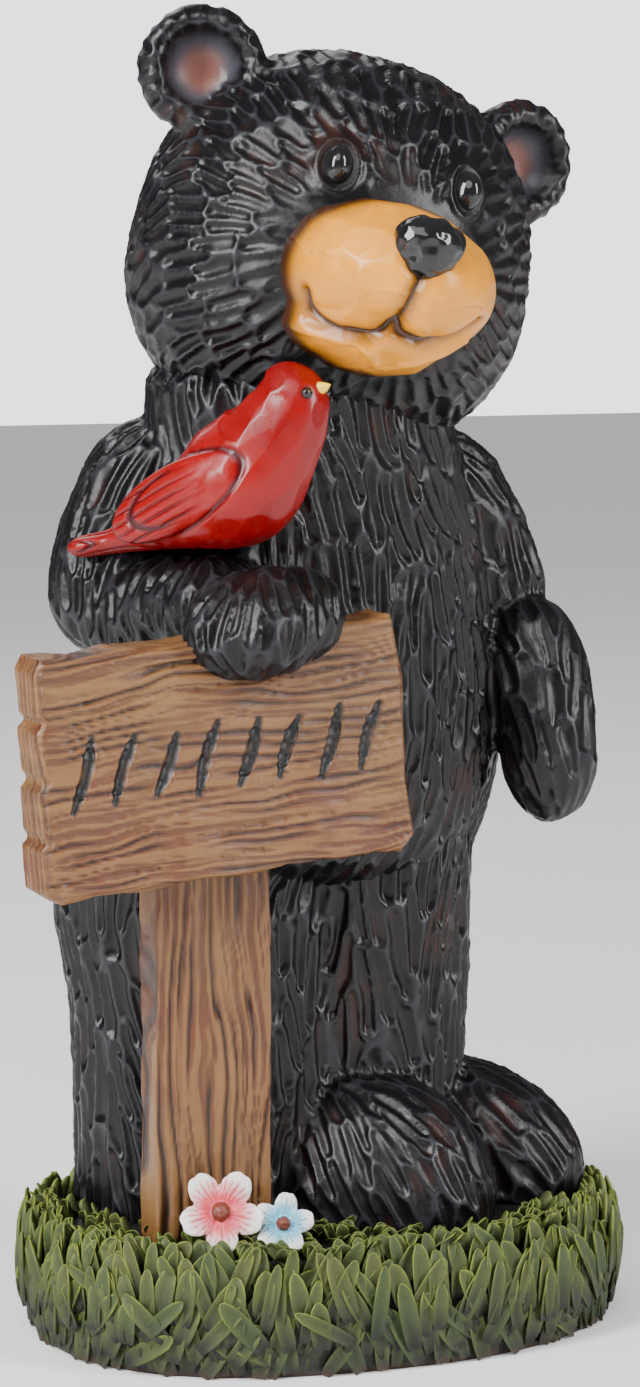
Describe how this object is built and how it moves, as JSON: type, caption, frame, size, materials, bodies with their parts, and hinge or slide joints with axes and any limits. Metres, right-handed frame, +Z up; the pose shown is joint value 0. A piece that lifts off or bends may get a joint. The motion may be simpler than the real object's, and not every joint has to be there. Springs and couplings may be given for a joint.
{
  "type": "garden statue of a bear",
  "caption": "Garden statue in the manner of a chainsaw carving: a standing bear with an arm on a wooden sign, a bird on the arm, on a mound of grass.",
  "frame": {"origin": "on the flat underside of the grass base, below the bear", "axes": "+Z up, -Y the way that the sign faces, +X towards the bear's left arm"},
  "size_m": [0.2275, 0.1777, 0.4374],
  "materials": {
    "black_paint": "semi-gloss",
    "grass_paint": "matte",
    "wood_paint": "satin",
    "red_paint": "gloss",
    "pink_paint": "satin",
    "blue_paint": "satin"
  },
  "bodies": {
    "root": {"bear": "black_paint", "grass_base": "grass_paint", "sign_board": "wood_paint", "sign_post": "wood_paint", "red_bird": "red_paint", "pink_flower": "pink_paint", "blue_flower": "blue_paint"}
  },
  "joints": []
}
